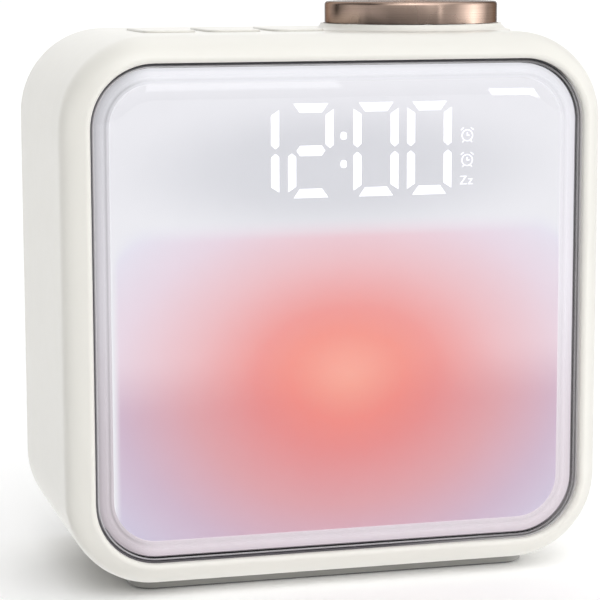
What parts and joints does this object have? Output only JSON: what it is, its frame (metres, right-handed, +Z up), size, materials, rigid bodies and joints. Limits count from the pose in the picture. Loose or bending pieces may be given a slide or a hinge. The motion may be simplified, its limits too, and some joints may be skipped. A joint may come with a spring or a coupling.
{
  "type": "sunrise alarm clock",
  "caption": "Rounded square sunrise alarm clock with a glowing light panel and digit display behind a clear lens, push buttons and a turning, pressing knob on top.",
  "frame": {"origin": "middle of the footprint, on the surface the clock stands on", "axes": "+Z up, the light panel faces -Y, +X to the right as seen from the front"},
  "size_m": [0.1436, 0.075, 0.1505],
  "materials": {
    "shell_white": "fine satin, warm white",
    "foot_grey": "satin grey",
    "pad_rubber": "matt, non-slip",
    "screw_steel": "zinc plated",
    "lens_clear": "clear, polished",
    "gasket_pale": "translucent pale silicone",
    "diffuser_white": "translucent milk white, lit from behind",
    "tray_white": "bright white inside",
    "board_white": "white solder mask",
    "lamp_yellow": "phosphor lamp",
    "board_green": "solder mask over glass laminate",
    "segment_white": "lit white, emissive",
    "chip_black": "moulded, matt",
    "capacitor_blue": "sleeved can",
    "gasket_black": "matt black",
    "speaker_steel": "black pressed steel",
    "cone_paper": "coated paper",
    "magnet_dark": "ferrite",
    "holder_black": "moulded, matt",
    "cell_steel": "stainless can",
    "inlet_steel": "nickel plated",
    "button_white": "satin, warm white",
    "plunger_black": "moulded",
    "brass": "turned",
    "rotor_white": "moulded",
    "hub_plastic": "moulded",
    "knob_metal": "turned and anodised, bronze",
    "lead_white": "flat lead",
    "lead_red": "insulated lead"
  },
  "bodies": {
    "housing": {"housing_shell": "shell_white", "foot_plinth": "foot_grey", "foot_pad": "pad_rubber", "foot_screws": "screw_steel", "lens_cover": "lens_clear", "lens_gasket": "gasket_pale", "diffuser": "diffuser_white", "light_tray": "tray_white", "tray_screws": "screw_steel", "sunrise_board": "board_white", "sunrise_lamps": "lamp_yellow", "sunrise_board_screws": "screw_steel", "display_housing": "tray_white", "display_board": "board_green", "display_segments": "segment_white", "main_board": "board_green", "main_chip": "chip_black", "board_capacitors": "capacitor_blue", "main_board_screws": "screw_steel", "rear_cover": "shell_white", "cover_screws": "screw_steel", "speaker_gasket": "gasket_black", "speaker_frame": "speaker_steel", "speaker_cone": "cone_paper", "speaker_magnet": "magnet_dark", "cell_holder": "holder_black", "coin_cell": "cell_steel", "battery_door": "shell_white", "door_screw": "screw_steel", "inlet_board": "board_green", "inlet_socket": "inlet_steel", "inlet_board_screws": "screw_steel", "key_board": "board_green", "key_board_screws": "screw_steel", "tact_switches": "chip_black", "encoder_body": "screw_steel", "encoder_bush": "brass", "encoder_washer": "screw_steel", "encoder_nut": "screw_steel", "light_lead": "lead_white", "display_lead": "lead_white", "key_lead": "lead_white", "speaker_lead": "lead_red", "inlet_lead": "lead_red"},
    "button_left": {"button_left": "button_white", "plunger_left": "plunger_black"},
    "button_middle": {"button_middle": "button_white", "plunger_middle": "plunger_black"},
    "button_right": {"button_right": "button_white", "plunger_right": "plunger_black"},
    "encoder_wheel": {"encoder_rotor": "rotor_white"},
    "knob": {"encoder_shaft": "screw_steel", "knob_hub": "hub_plastic", "knob_shell": "knob_metal"}
  },
  "joints": [
    {"name": "button_left_press", "type": "slide", "parent": "housing", "child": "button_left", "axis": [0, 0, -1], "range_m": [0, 0.0005], "stiffness_N_per_m": 2000, "springref_m": -0.0003},
    {"name": "button_middle_press", "type": "slide", "parent": "housing", "child": "button_middle", "axis": [0, 0, -1], "range_m": [0, 0.0005], "stiffness_N_per_m": 2000, "springref_m": -0.0003},
    {"name": "button_right_press", "type": "slide", "parent": "housing", "child": "button_right", "axis": [0, 0, -1], "range_m": [0, 0.0005], "stiffness_N_per_m": 2000, "springref_m": -0.0003},
    {"name": "knob_turn", "type": "hinge", "parent": "housing", "child": "encoder_wheel", "pos_m": [0.0301, 0.0025, 0.14], "axis": [0, 0, 1], "continuous": true},
    {"name": "knob_press", "type": "slide", "parent": "encoder_wheel", "child": "knob", "axis": [0, 0, -1], "range_m": [0, 0.0005], "stiffness_N_per_m": 4000, "springref_m": -0.0005}
  ]
}
